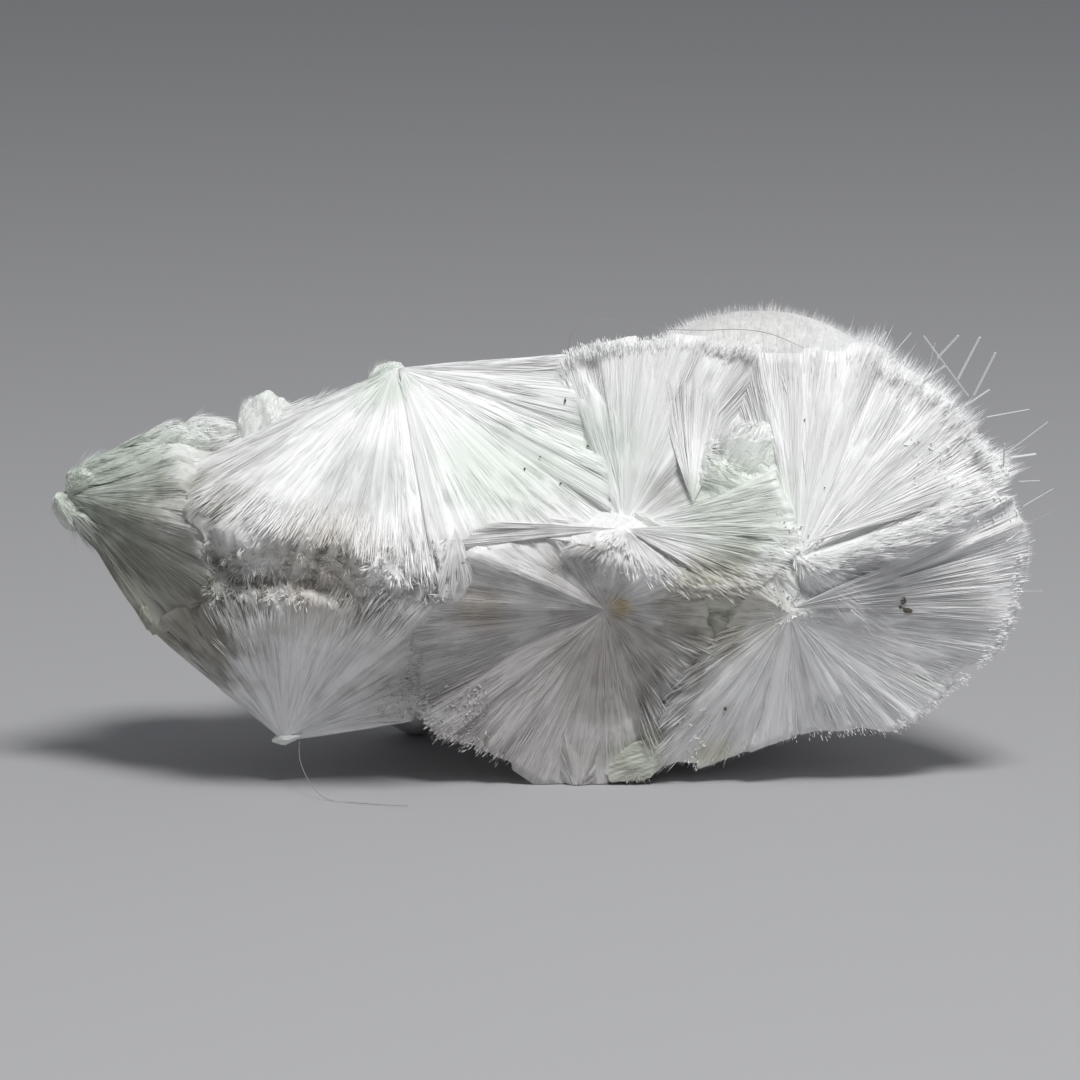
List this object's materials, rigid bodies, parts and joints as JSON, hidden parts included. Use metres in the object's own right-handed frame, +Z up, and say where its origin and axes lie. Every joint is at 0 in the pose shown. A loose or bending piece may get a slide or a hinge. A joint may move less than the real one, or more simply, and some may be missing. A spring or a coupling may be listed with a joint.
{
  "type": "okenite mineral cluster",
  "caption": "Cluster of radiating white okenite fibre sprays grown together, broken open on one face and rounded like puffballs behind.",
  "frame": {"origin": "on the surface that the cluster rests on, under the middle of its bounding box", "axes": "+Z up, +X along the longest extent, the broken face looks along -Y"},
  "size_m": [0.0254, 0.012, 0.0119],
  "materials": {
    "okenite_fibre": "silky white fibrous mineral",
    "okenite_fur": "downy surface of fine white needle tips",
    "okenite_crust": "compact pale green-white mineral, waxy",
    "okenite_needle": "clear, glassy needles",
    "dust": "dark specks and a stray hair"
  },
  "bodies": {
    "root": {"okenite_cluster": "okenite_fibre"}
  },
  "joints": []
}
